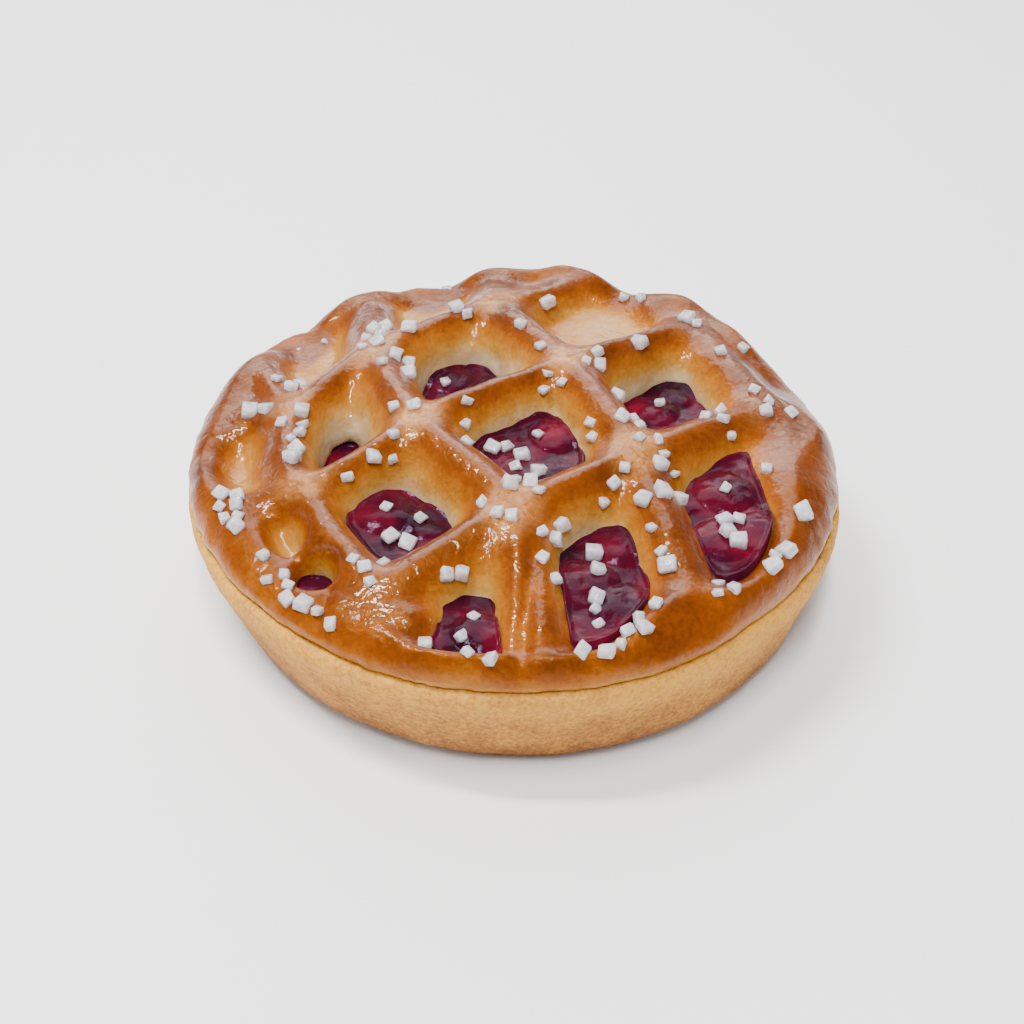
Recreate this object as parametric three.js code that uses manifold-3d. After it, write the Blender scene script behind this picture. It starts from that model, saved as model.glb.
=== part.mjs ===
// A round lattice cherry tart in millimetres, +Z up, with its front towards -Y.
// A bowl of shortcrust holds a cherry filling under a lid of dough that was cut into a
// lattice and has risen into soft bars. Coarse sugar crystals lie on the lid and in its openings.
//
// The lid is described over the plan by one field. Its reach is 0 along the crest of a bar or
// of the rim and 1 at the foot of the wall below it, and is more than 1 out in an opening.

import * as THREE from 'three';
import { mergeVertices } from 'three/addons/utils/BufferGeometryUtils.js';
import Module from 'manifold-3d';

const wasm = await Module();
wasm.setup();
const { Manifold, Mesh } = wasm;

// ---------------------------------------------------------------- driving dimensions

const DOME_TOP = 34.8;          // crest of the lattice over the middle
const DOME_DROP = 0.00324;      // fall of the crests, per mm of radius squared
const WELD = 0.87;              // how softly bars run into each other, as a share of their reach
const RIM_ROLL = 0.76;          // reach between the rim's crest and its edge, at the least
const RIM_ROLL_WIDTH = 1.5;     // least width over which the rim rolls down to its edge
const LID_UNDERSIDE = 20.8;
const LEDGE = 0.7;              // how far the crust's rim stands out beyond the lid's edge
const FIT_GAP = 0.35;           // clearance of the filling over the bottom of the crust
const SIDE_GAP = 0.45;          // and beside its wall

// Cross section of a bar: an arch of this height over upright feet. The flank is rounder and
// the crown more pointed with a smaller exponent.
const ARCH = { height: 10, least: 0.5, foot: 0.8, flank: 0.6, crown: 1.8 };

const CRUST_TOP = 20.45;
const CRUST_FLOOR = 4.8;        // thickness of the bottom
const CRUST_WALL = 4.4;         // thickness of the wall at the top
const CRUST_WALL_GAIN = 1.2;    // how much thicker it is at the foot
const CRUST_RIM_RADIUS = 55;
const CRUST_FOOT_RADIUS = 48.9;
const CRUST_FLARE = { height: 18, exponent: 0.94 };
const CRUST_FOOT = [[46.2, 0], [48.2, 0.9]];       // rounding of the foot: [radius, height]
const CRUST_LIP = [[54.9, 19.7], [54.1, 20.45]];   // rounding of the rim
const CRUST_LEVELS = [3.2, 7.5, 12, 16, 18.3];     // heights of the facets outside
const INNER_LEVELS = [7.2, 14];                    // and inside
const CORNER = { level: 5, radius: 1.8 };          // where the inner wall meets the bottom
const CRUST_LEAN = [1.1, -0.4];                    // the foot sits to one side of the rim
const FILLING_TOP = 19.9;       // level of the filling under the lid

// Bars of each family: half width and the path of the crest, as [along, across] distances
// measured from the middle of the tart in the family's own direction.
const FAMILIES = [
  {
    direction: 35,
    bars: [
      { halfWidth: 5.7, path: [[-41, 30.9], [-35, 29.7], [-30, 25.1], [-9, 29.7], [18, 31.8], [36, 32.8]] },
      { halfWidth: 4.8, path: [[-50, 12], [-36.7, 4.6], [-13.7, 5.7], [16.1, 5.6], [50, 8.8]] },
      { halfWidth: 6.1, path: [[-45, -21.3], [-17.3, -20.6], [10.3, -20.5], [42.8, -18.7], [47, -18]] },
    ],
  },
  {
    direction: -64,
    bars: [
      { halfWidth: 5.9, path: [[-39.3, -32.6], [-20.4, -33.5], [-3.3, -38.6], [26.1, -36.4], [33, -34.3]] },
      { halfWidth: 6.3, path: [[-49, -6.8], [-28.6, -13.4], [-3.7, -16.1], [21.4, -11.1], [48, -18.6]] },
      { halfWidth: 6.4, path: [[-48.7, 21.6], [-34.8, 12.8], [-7.8, 13.7], [18.4, 12.8], [50, 7]] },
      { halfWidth: 7.9, path: [[-27, 43.4], [-14.9, 43.8], [13.6, 43], [22, 40.5]] },
    ],
  },
];

// The rim of the lid, all round: [degrees from +X, crest radius, crest height, width from the
// crest in to the opening, radius of the edge]. It stands high where a bar ends in it.
const RIM = [
  [-150, 48.8, 26.9, 6.8, 54.3], [-135, 49.8, 25.2, 5.6, 53.8], [-120, 49.1, 26.7, 4.3, 54.3],
  [-105, 52.1, 26.5, 2.5, 54.4], [-90, 52.1, 27.0, 1.9, 54.3], [-75, 52.2, 26.3, 3.3, 54.4],
  [-60, 49.0, 29.8, 5.6, 54.5], [-45, 51.6, 27.0, 4.6, 53.6], [-30, 50.6, 27.9, 5.5, 54.4],
  [-12, 47.6, 29.8, 9.6, 54.3], [2, 51.0, 28.8, 5.4, 54.2], [17, 50.0, 23.4, 3.6, 53.7],
  [33, 49.8, 27.3, 4.0, 53.1], [44, 51.0, 29.2, 4.0, 54.5], [54, 51.3, 30.3, 4.0, 54.5],
  [65, 49.9, 25.4, 4.0, 53.5], [78, 51.5, 30.4, 4.5, 54.4], [86, 50.6, 28.1, 4.2, 54.3],
  [95, 50.9, 28.8, 4.0, 54.1], [108, 49.8, 22.2, 4.0, 53.1], [125, 50.8, 28.2, 4.0, 53.9],
  [142, 49.4, 22.4, 4.0, 52.8], [157, 50.8, 28.6, 5.0, 53.9], [167, 50.6, 26.4, 9.0, 54.1],
  [176, 51.0, 25.6, 8.5, 54.2], [184, 52.2, 24.8, 4.0, 54.3], [194, 51.7, 26.2, 4.5, 54.4],
];
const RIM_COLUMNS = { crestRadius: 1, crestHeight: 2, inward: 3, edge: 4 };

// Where the dough has parted from the rim: [x, y, radius, strength].
const TEARS = [[-30.0, -33.7, 3.3, 1.05], [-35.4, -25.2, 3.9, 0.42]];

// Openings that show the filling: the deepest point of each, and the level of the jelly there.
const OPENINGS = [
  { at: [-8.5, 14.5], level: 23.0, sides: 30 },
  { at: [-28.0, -2.5], level: 20.4, sides: 20 },
  { at: [2.5, -6.0], level: 27.5, sides: 30 },
  { at: [25.0, 10.5], level: 22.4, sides: 30 },
  { at: [-17.5, -22.5], level: 25.2, sides: 30 },
  { at: [34.2, -18.5], level: 26.2, sides: 32 },
  { at: [14.3, -36.0], level: 25.2, sides: 32 },
  { at: [-6.5, -45.0], level: 24.2, sides: 24 },
  { at: [-30.6, -33.6], level: 22.0, sides: 18 },
];

// Dimples near the rim whose bottom is dough: the deepest point of each, and its floor's height.
const DIMPLES = [
  { at: [13.5, 33.0], floor: 24.0 },
  { at: [-16.0, 38.5], floor: 23.6 },
  { at: [-35.5, 24.0], floor: 23.2 },
  { at: [-45.5, -5.5], floor: 22.4 },
];

// Cherries that hump the jelly: [x, y, radius, height of their tops above the jelly].
const CHERRIES = [
  [34, -14, 5.5, 1.0], [40, -24, 6, 1.3], [33, -25, 5.5, 1.4], [17, -26, 5.5, 1.1], [11, -35, 6, 0.9],
  [17, -40, 5.5, 1.2], [-20, -19, 5.5, 1.2], [-14, -21, 5, 0.8], [2, 5, 5, 0.7], [7, -1, 5, 0.9],
  [-5, -45, 4.5, 0.9], [24, 13, 5, 1.0], [28, 18, 5, 0.7], [-12, 21, 5, 1.0],
];

// Drifts of sugar: [x, y, crystals, spread]. A few more lie singly all over.
const DRIFTS_ON_LID = [
  [-36, -1, 4, 3.2], [-34, -10, 2, 4], [-39, 13, 3, 3.8], [-42, 4, 2, 4], [-36, 29, 2, 3],
  [-26, 20, 3, 2.8], [-23, 24, 3, 2.4], [-19, 13, 3, 3.6], [-11, 29, 2, 2.6], [1, 24, 1, 1.5],
  [-47, -19, 4, 4], [-46, -23, 3, 3.2], [-37, -33, 3, 3.6], [-33, -39, 3, 3], [-29, -44, 2, 2.4],
  [-22, -36, 4, 3], [-28, -17, 1, 2], [-20, -10, 3, 3.6], [-20, 0, 2, 4.2], [-7, -2, 2, 2.4],
  [-9, -10, 1, 2], [7, 7, 3, 2.6], [12, 13, 3, 3.6], [3, 16, 1, 2], [4, -20, 2, 2.4],
  [-1, -21, 2, 2.4], [-3, -27, 3, 3.8], [14, -4, 3, 3.8], [20, -4, 2, 2.6], [22, -9, 2, 2.4],
  [25, -13, 3, 2.6], [17, -18, 2, 2.6], [21, -21, 2, 3], [33, -2, 3, 3.4], [41, 7, 3, 4.4],
  [37, 25, 2, 3.6], [22, 23, 1, 2], [21, 41, 2, 3.2], [32, 34, 2, 3.4], [9, 36, 3, 4.6],
  [-8, -37, 2, 3], [-12, -50, 1, 2], [-4, -52, 2, 2.6], [6, -35, 2, 2.4], [5, -29, 2, 2.2],
  [18, -48, 4, 3.4], [21, -44, 1, 2], [12, -51, 2, 2.4], [32, -38, 3, 3], [42, -30, 3, 3.2],
  [22, -31, 1, 2], [-14, 46, 2, 4.4], [42, -10, 1, 2], [48, 8, 1, 3],
];
const SINGLES_ON_LID = 12;
const DRIFTS_ON_FILLING = [
  [11, -40, 3, 2.6], [12, -45, 4, 2.8], [15, -31, 2, 4], [28, -18, 2, 2.4], [32, -27, 3, 3],
  [35, -23, 2, 3], [35, -14, 1, 3], [2, -9, 3, 3], [-2, -5, 2, 3], [5, -1, 1, 3],
  [-9, -47, 2, 2.4], [-5, -44, 1, 2], [-19, -27, 2, 3], [-17, -20, 2, 4], [-14, 19, 1, 2], [24, 13, 1, 3],
];
const CRYSTAL = {
  small: 1.7,
  large: 2.8,
  mostlySmall: 1.6,         // exponent of the spread from small to large
  wear: 0.22,               // share of its half length by which a corner may be worn off
  length: [0.95, 1.2],      // shape of a grain, as shares of its size
  thickness: [0.65, 0.9],
  tilt: 0.9,
  sunk: 0.28,               // share of its size that lies in the ground
  apart: 2.15,
};
const SINGLES = { within: 50, spread: 6 };             // radius of the field of single crystals
const ON_DOUGH = { around: 1.5, reach: 0.93 };         // crystals stay this clear of the walls
const ON_JELLY = { around: 2.3, reach: 1.02 };
const TRIES = 40;           // spots tried for each crystal before it is left out
const SUGAR_SEED = 4207;

// How finely the surfaces are faceted. Rings are shares of the way out from the middle.
const DIMPLE_SIDES = 20;
const DIMPLE_RINGS = [1, 0.8, 0.58, 0.32];
const MOUND_RINGS = [1, 0.74, 0.4];
const EDGE_SIDES = 66;
const CRUST_SIDES = 56;
const FINEST = 0.045;                            // smaller relief is left out
const CREST_BAND = 0.3;                          // reach at the border of the capped crests
const WALL_BANDS = [CREST_BAND, 0.55, 0.76, 0.91, 1];
const JELLY_REACH = 1.075;                       // reach at which the jelly stops short of the walls
const DIMPLE_SOFTNESS = 1.5;                     // height over which a wall runs into its floor
const MOUND_BRIM = 0.3;                          // how far the jelly's border lies below its level
const MOUND_ROOT = 1;                            // how deep a mound stands in the filling
const CHERRY_ROOT = 0.5;                         // and a cherry in the jelly
const MARCH = 0.35;                              // step of the search for a contour
const TOO_FAR = 80;                              // where that search has missed the dough
const REACH_BLUR = 0.8;                          // how far a crest's height carries into its neighbour

// ---------------------------------------------------------------- curves

// A smooth curve through [position, value] nodes, straight on beyond its ends.
function through(nodes, position) {
  const last = nodes.length - 1;
  const at = Math.min(Math.max(position, nodes[0][0]), nodes[last][0]);
  let i = 0;
  while (i < last - 1 && at > nodes[i + 1][0]) i += 1;
  const slopeAt = (j) => {
    const [before, after] = [nodes[Math.max(j - 1, 0)], nodes[Math.min(j + 1, last)]];
    return (after[1] - before[1]) / (after[0] - before[0]);
  };
  const [[x0, y0], [x1, y1]] = [nodes[i], nodes[i + 1]];
  const span = x1 - x0;
  const t = (at - x0) / span;
  const [m0, m1] = [slopeAt(i), slopeAt(i + 1)];
  const value = (1 + 2 * t) * (1 - t) ** 2 * y0 + t * (1 - t) ** 2 * span * m0
    + t * t * (3 - 2 * t) * y1 + t * t * (t - 1) * span * m1;
  const slope = (6 * t * (t - 1) * (y0 - y1)) / span + (1 - t) * (1 - 3 * t) * m0
    + t * (3 * t - 2) * m1;
  return { value, slope };
}

// One column of the rim's stations at an angle, as a curve that closes on itself.
function rimAt(column, degrees) {
  const turn = (station, laps) => [station[0] + 360 * laps, station[column]];
  const loop = [
    ...RIM.slice(-2).map((station) => turn(station, -1)),
    ...RIM.map((station) => turn(station, 0)),
    ...RIM.slice(0, 2).map((station) => turn(station, 1)),
  ];
  return through(loop, degrees).value;
}

function softMin(a, b, width) {
  const overlap = Math.max(width - Math.abs(a - b), 0) / width;
  return Math.min(a, b) - (overlap * overlap * width) / 4;
}

function softMax(a, b, width) {
  return -softMin(-a, -b, width);
}

const degreesAt = (x, y) => THREE.MathUtils.radToDeg(Math.atan2(y, x));

// ---------------------------------------------------------------- the lid's form

function barReach(direction, { halfWidth, path }, x, y) {
  const angle = THREE.MathUtils.degToRad(direction);
  const along = x * Math.cos(angle) + y * Math.sin(angle);
  const across = y * Math.cos(angle) - x * Math.sin(angle);
  const crest = through(path, along);
  const aside = Math.abs(across - crest.value) / Math.hypot(1, crest.slope);
  const beyond = Math.max(path[0][0] - along, 0) + Math.max(along - path.at(-1)[0], 0);
  return Math.hypot(aside, beyond) / halfWidth;
}

// Reach and crest height of the lid at a point of the plan.
function lidAt(x, y) {
  const radius = Math.hypot(x, y);
  const degrees = degreesAt(x, y);
  const edge = rimAt(RIM_COLUMNS.edge, degrees);
  const crestRadius = rimAt(RIM_COLUMNS.crestRadius, degrees);
  const rimWidth = radius > crestRadius ? edge - crestRadius : rimAt(RIM_COLUMNS.inward, degrees);
  const dome = DOME_TOP - DOME_DROP * radius * radius;
  const members = FAMILIES.flatMap(({ direction, bars }) =>
    bars.map((bar) => ({ reach: barReach(direction, bar, x, y), crest: dome })));
  members.push({
    reach: Math.abs(radius - crestRadius) / rimWidth,
    crest: rimAt(RIM_COLUMNS.crestHeight, degrees),
  });
  let reach = members[0].reach;
  for (const member of members.slice(1)) reach = softMin(reach, member.reach, WELD);
  const roll = Math.max(edge - crestRadius, RIM_ROLL_WIDTH);
  reach = Math.max(reach, 1 + (RIM_ROLL * (radius - edge)) / roll);
  for (const [tx, ty, size, strength] of TEARS) {
    reach += strength * Math.exp(-((((x - tx) ** 2 + (y - ty) ** 2) / size ** 2) ** 2));
  }
  let [total, weights] = [0, 0];
  for (const member of members) {
    const weight = Math.exp(-((Math.min(member.reach, 4) / REACH_BLUR) ** 2)) + 1e-9;
    total += weight * member.crest;
    weights += weight;
  }
  return { reach: Math.max(reach, 0), crest: total / weights };
}

// Top of the dough at a point that it covers.
function lidTop(x, y) {
  const { reach, crest } = lidAt(x, y);
  const height = THREE.MathUtils.clamp(crest - LID_UNDERSIDE - ARCH.foot, ARCH.least, ARCH.height);
  const rounding = (1 - Math.min(reach, 1) ** ARCH.crown) ** ARCH.flank;
  return crest - height * (1 - rounding);
}

// The point where a ray from the start first comes down to a reach.
function contourPoint([startX, startY], angle, reach, step, start = 0) {
  const point = (distance) => [startX + distance * Math.cos(angle), startY + distance * Math.sin(angle)];
  let [near, far] = [start, start + step];
  while (lidAt(...point(far)).reach > reach) {
    near = far;
    far += step;
    if (Math.abs(far) > TOO_FAR) throw new Error(`no dough at ${startX}, ${startY}`);
  }
  for (let i = 0; i < 24; i += 1) {
    const middle = (near + far) / 2;
    if (lidAt(...point(middle)).reach > reach) near = middle;
    else far = middle;
  }
  return point(far);
}

// A loop round an opening.
function contour(centre, reach, sides) {
  return Array.from({ length: sides }, (_, i) =>
    contourPoint(centre, (2 * Math.PI * i) / sides, reach, MARCH));
}

// A loop drawn together towards a point.
function shrunk(loop, [middleX, middleY], share) {
  return loop.map(([x, y]) => [middleX + share * (x - middleX), middleY + share * (y - middleY)]);
}

// A loop round the lid, found from outside.
function outerContour(reach, sides) {
  return Array.from({ length: sides }, (_, i) => {
    const angle = (2 * Math.PI * i) / sides;
    const degrees = THREE.MathUtils.radToDeg(angle > Math.PI ? angle - 2 * Math.PI : angle);
    return contourPoint([0, 0], angle, reach, -MARCH, rimAt(RIM_COLUMNS.edge, degrees) + 0.01);
  });
}

// ---------------------------------------------------------------- closed surfaces

// Collects loops of points and joins them with bands, fans and flat caps.
class Surface {
  constructor() {
    this.points = [];
    this.faces = [];
  }

  loop(plan, height) {
    const first = this.points.length;
    for (const [x, y] of plan) {
      this.points.push([x, y, typeof height === 'function' ? height(x, y) : height]);
    }
    return plan.map((_, i) => first + i);
  }

  // Between two counter-clockwise loops: faces look outwards, or inwards on a hole.
  band(upper, lower, outwards = true) {
    upper.forEach((corner, i) => {
      const next = (i + 1) % upper.length;
      const quad = [
        [corner, lower[i], lower[next]],
        [corner, lower[next], upper[next]],
      ];
      this.faces.push(...quad.map((face) => (outwards ? face : face.toReversed())));
    });
  }

  fan(loop, [x, y], height, up = true) {
    const tip = this.points.push([x, y, height]) - 1;
    loop.forEach((corner, i) => {
      const face = [tip, corner, loop[(i + 1) % loop.length]];
      this.faces.push(up ? face : face.toReversed());
    });
  }

  cap(outer, holes, up) {
    const flat = (loop) => loop.map((i) => new THREE.Vector2(this.points[i][0], this.points[i][1]));
    const corners = [...outer, ...holes.flat()];
    for (const face of THREE.ShapeUtils.triangulateShape(flat(outer), holes.map(flat))) {
      const [a, b, c] = face.map((i) => this.points[corners[i]]);
      const area = (b[0] - a[0]) * (c[1] - a[1]) - (b[1] - a[1]) * (c[0] - a[0]);
      const turned = area > 0 === up ? face : face.toReversed();
      this.faces.push(turned.map((i) => corners[i]));
    }
  }

  geometry() {
    const geometry = new THREE.BufferGeometry();
    geometry.setAttribute('position', new THREE.Float32BufferAttribute(this.points.flat(), 3));
    geometry.setIndex(this.faces.flat());
    return geometry;
  }
}

function toSolid(geometry) {
  const bare = geometry.clone();
  bare.deleteAttribute('normal');
  bare.deleteAttribute('uv');
  const merged = mergeVertices(bare, 1e-5);
  return new Manifold(new Mesh({
    numProp: 3,
    vertProperties: merged.getAttribute('position').array,
    triVerts: Uint32Array.from(merged.getIndex().array),
  }));
}

function toGeometry(solid) {
  const { vertProperties, triVerts } = solid.getMesh();
  const geometry = new THREE.BufferGeometry();
  geometry.setAttribute('position', new THREE.BufferAttribute(vertProperties, 3));
  geometry.setIndex(new THREE.BufferAttribute(triVerts, 1));
  return geometry;
}

// ---------------------------------------------------------------- the lid

function makeLid() {
  const surface = new Surface();
  const topHoles = [];
  const bottomHoles = [];

  const outer = WALL_BANDS.map((reach) => surface.loop(outerContour(reach, EDGE_SIDES), lidTop));
  const outerFoot = surface.loop(outerContour(1, EDGE_SIDES), LID_UNDERSIDE);
  [...outer, outerFoot].reduce((upper, lower) => {
    surface.band(upper, lower);
    return lower;
  });

  for (const { at, sides } of OPENINGS) {
    const wall = WALL_BANDS.map((reach) => surface.loop(contour(at, reach, sides), lidTop));
    const foot = surface.loop(contour(at, 1, sides), LID_UNDERSIDE);
    [...wall, foot].reduce((upper, lower) => {
      surface.band(upper, lower, false);
      return lower;
    });
    topHoles.push(wall[0]);
    bottomHoles.push(foot);
  }

  for (const { at, floor } of DIMPLES) {
    const dimpleTop = (x, y) => softMax(lidTop(x, y), floor, DIMPLE_SOFTNESS);
    const brim = contour(at, CREST_BAND, DIMPLE_SIDES);
    const rings = DIMPLE_RINGS.map((share) => surface.loop(shrunk(brim, at, share), dimpleTop));
    rings.reduce((upper, lower) => {
      surface.band(upper, lower, false);
      return lower;
    });
    surface.fan(rings.at(-1), at, dimpleTop(...at));
    topHoles.push(rings[0]);
  }

  surface.cap(outer[0], topHoles, true);
  surface.cap(outerFoot, bottomHoles, false);
  return surface.geometry();
}

// ---------------------------------------------------------------- crust and filling

// Fits a round profile to the tart's uneven rim, more and more with height, and leans it.
function settle(geometry) {
  const position = geometry.getAttribute('position');
  for (let i = 0; i < position.count; i += 1) {
    const [x, y, z] = [position.getX(i), position.getY(i), position.getZ(i)];
    const radius = Math.hypot(x, y);
    const height = Math.min(Math.max(z / CRUST_TOP, 0), 1);
    const edge = Math.min(rimAt(RIM_COLUMNS.edge, degreesAt(x, y)) + LEDGE, CRUST_RIM_RADIUS);
    const grow = 1 + (height * (edge / CRUST_RIM_RADIUS - 1));
    const lean = 1 - height;
    position.setXYZ(i, x * grow + CRUST_LEAN[0] * lean, y * grow + CRUST_LEAN[1] * lean, z);
  }
  return geometry;
}

// A turned shape standing on Z, from [radius, height] pairs.
function turned(profile) {
  const points = profile.map(([radius, height]) => new THREE.Vector2(radius, height));
  const geometry = new THREE.LatheGeometry(points, CRUST_SIDES);
  return geometry.rotateX(Math.PI / 2);
}

// Outer wall radius of the crust at a height, before the rounding of its foot.
function wallRadius(height) {
  const share = Math.min(height / CRUST_FLARE.height, 1) ** CRUST_FLARE.exponent;
  return CRUST_FOOT_RADIUS + (CRUST_RIM_RADIUS - CRUST_FOOT_RADIUS) * share;
}

function innerRadius(height) {
  return wallRadius(height) - CRUST_WALL - CRUST_WALL_GAIN * (1 - height / CRUST_TOP);
}

function makeCrust() {
  const outer = [[0, 0], ...CRUST_FOOT];
  for (const height of CRUST_LEVELS) outer.push([wallRadius(height), height]);
  outer.push(...CRUST_LIP);
  const inner = [[innerRadius(CRUST_TOP), CRUST_TOP]];
  for (const height of INNER_LEVELS.toReversed()) inner.push([innerRadius(height), height]);
  inner.push([innerRadius(CORNER.level) - CORNER.radius, CRUST_FLOOR], [0, CRUST_FLOOR]);
  return settle(turned([...outer, ...inner]));
}

// Height of the jelly and its cherries in one opening.
function jellyTop(level, x, y) {
  let height = level;
  for (const [cx, cy, size, rise] of CHERRIES) {
    const away = Math.hypot(x - cx, y - cy) / size;
    if (away < 1) {
      const dome = (rise + CHERRY_ROOT) * Math.sqrt(1 - away * away);
      height = Math.max(height, level - CHERRY_ROOT + dome);
    }
  }
  return height;
}

function makeMound({ at, level, sides }) {
  const surface = new Surface();
  const rim = contour(at, JELLY_REACH, sides);
  const root = surface.loop(rim, FILLING_TOP - MOUND_ROOT);
  const rings = MOUND_RINGS.map((share) => surface.loop(
    shrunk(rim, at, share),
    share === 1 ? level - MOUND_BRIM : (x, y) => jellyTop(level, x, y),
  ));
  surface.band(rings[0], root);
  rings.reduce((upper, lower) => {
    surface.band(upper, lower, false);
    return lower;
  });
  surface.fan(rings.at(-1), at, jellyTop(level, ...at));
  surface.fan(root, at, FILLING_TOP - MOUND_ROOT, false);
  return surface.geometry();
}

function makeFilling() {
  const base = CRUST_FLOOR + FIT_GAP;
  const within = (height) => innerRadius(height) - SIDE_GAP;
  const profile = [[0, base], [within(CORNER.level) - CORNER.radius, base]];
  for (const height of [...INNER_LEVELS, FILLING_TOP]) profile.push([within(height), height]);
  profile.push([0, FILLING_TOP]);
  const body = toSolid(settle(turned(profile)));
  return Manifold.union([body, ...OPENINGS.map((opening) => toSolid(makeMound(opening)))]);
}

// ---------------------------------------------------------------- sugar

// Repeatable random numbers from 0 to 1.
function makeRandom(seed) {
  let state = seed;
  return () => {
    state = (state * 16807) % 2147483647;
    return state / 2147483647;
  };
}

const between = ([low, high], share) => low + (high - low) * share;

// A worn cube of sugar, sunk a little into what it lies on.
function makeCrystal([x, y, z], random) {
  const block = new THREE.BoxGeometry(1, 1, 1);
  block.deleteAttribute('normal');
  block.deleteAttribute('uv');
  const geometry = mergeVertices(block);
  const position = geometry.getAttribute('position');
  const worn = (length) => length * (1 - CRYSTAL.wear + CRYSTAL.wear * random());
  for (let i = 0; i < position.count; i += 1) {
    position.setXYZ(i, worn(position.getX(i)), worn(position.getY(i)), worn(position.getZ(i)));
  }
  const size = between([CRYSTAL.small, CRYSTAL.large], random() ** CRYSTAL.mostlySmall);
  const length = size * between(CRYSTAL.length, random());
  geometry.scale(length, size, size * between(CRYSTAL.thickness, random()));
  geometry.rotateX((random() - 0.5) * CRYSTAL.tilt);
  geometry.rotateY((random() - 0.5) * CRYSTAL.tilt);
  geometry.rotateZ(random() * Math.PI);
  geometry.translate(x, y, z + size * (between(CRYSTAL.thickness, 0.5) / 2 - CRYSTAL.sunk));
  return geometry;
}

// Spots for crystals round the middle of each drift, each on ground that suits it and clear
// of the others.
function scatter(drifts, suits, random) {
  const spots = [];
  for (const [x, y, count, spread] of drifts) {
    let left = count;
    for (let tries = 0; tries < TRIES * count && left > 0; tries += 1) {
      const away = spread * Math.sqrt(random());
      const angle = 2 * Math.PI * random();
      const spot = [x + away * Math.cos(angle), y + away * Math.sin(angle)];
      const gaps = spots.map((other) => Math.hypot(other[0] - spot[0], other[1] - spot[1]));
      if (gaps.every((gap) => gap > CRYSTAL.apart) && suits(...spot)) {
        spots.push(spot);
        left -= 1;
      }
    }
  }
  return spots;
}

// The smallest and largest reach on a small circle round a point.
function reachAround(x, y, radius) {
  const reaches = Array.from({ length: 8 }, (_, i) => {
    const angle = (i * Math.PI) / 4;
    return lidAt(x + radius * Math.cos(angle), y + radius * Math.sin(angle)).reach;
  });
  return [Math.min(...reaches), Math.max(...reaches)];
}

function fuse(solid, spots, heightAt, random) {
  const crystals = spots.map(([x, y]) => toSolid(makeCrystal([x, y, heightAt(x, y)], random)));
  const pieces = Manifold.union([solid, ...crystals]).simplify(FINEST).decompose();
  pieces.sort((a, b) => b.volume() - a.volume());
  return toGeometry(pieces[0]);
}

function sugarLid(solid, random) {
  const singles = Array.from({ length: SINGLES_ON_LID }, () => {
    const angle = 2 * Math.PI * random();
    const away = SINGLES.within * Math.sqrt(random());
    return [away * Math.cos(angle), away * Math.sin(angle), 1, SINGLES.spread];
  });
  const onDough = (x, y) => reachAround(x, y, ON_DOUGH.around)[1] < ON_DOUGH.reach;
  return fuse(solid, scatter([...DRIFTS_ON_LID, ...singles], onDough, random), lidTop, random);
}

function sugarFilling(solid, random) {
  const onJelly = (x, y) => lidAt(x, y).reach > ON_JELLY.reach
    && reachAround(x, y, ON_JELLY.around)[0] > ON_JELLY.reach;
  const nearest = (x, y) => OPENINGS.reduce((best, opening) => {
    const away = Math.hypot(x - opening.at[0], y - opening.at[1]);
    return away < best.away ? { away, opening } : best;
  }, { away: Infinity });
  const height = (x, y) => jellyTop(nearest(x, y).opening.level, x, y);
  return fuse(solid, scatter(DRIFTS_ON_FILLING, onJelly, random), height, random);
}

// ---------------------------------------------------------------- the tart

function named(name, geometry, color, roughness) {
  const material = new THREE.MeshStandardMaterial({ color, roughness, metalness: 0 });
  geometry.computeVertexNormals();
  const mesh = new THREE.Mesh(geometry, material);
  mesh.name = name;
  return mesh;
}

const random = makeRandom(SUGAR_SEED);
const group = new THREE.Group();
group.add(
  named('base_crust', makeCrust(), 0xbf9457, 0.8),
  named('lattice_lid', sugarLid(toSolid(makeLid()), random), 0xb86621, 0.35),
  named('cherry_filling', sugarFilling(makeFilling(), random), 0x550d1d, 0.2),
);

export default group;
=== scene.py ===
"""A lattice cherry tart: fine surfaces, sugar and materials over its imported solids."""
import math

import bpy
import mathutils
import numpy as np
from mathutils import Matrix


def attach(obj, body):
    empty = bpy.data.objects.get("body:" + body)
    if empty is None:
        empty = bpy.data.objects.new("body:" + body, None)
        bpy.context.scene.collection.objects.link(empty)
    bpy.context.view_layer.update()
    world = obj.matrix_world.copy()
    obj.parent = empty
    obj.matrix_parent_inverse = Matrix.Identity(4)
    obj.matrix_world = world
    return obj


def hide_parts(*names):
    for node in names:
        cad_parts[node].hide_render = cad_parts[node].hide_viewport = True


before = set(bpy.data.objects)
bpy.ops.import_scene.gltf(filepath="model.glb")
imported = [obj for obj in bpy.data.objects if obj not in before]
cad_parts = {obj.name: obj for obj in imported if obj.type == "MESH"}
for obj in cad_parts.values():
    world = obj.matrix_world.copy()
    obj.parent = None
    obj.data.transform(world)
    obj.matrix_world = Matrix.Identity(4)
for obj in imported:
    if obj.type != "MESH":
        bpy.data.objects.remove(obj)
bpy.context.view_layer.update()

MM = 0.001

# ---------------------------------------------------------------- sizes, in millimetres
# Down to the sugar, these are the values that the solids are made from.

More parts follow.
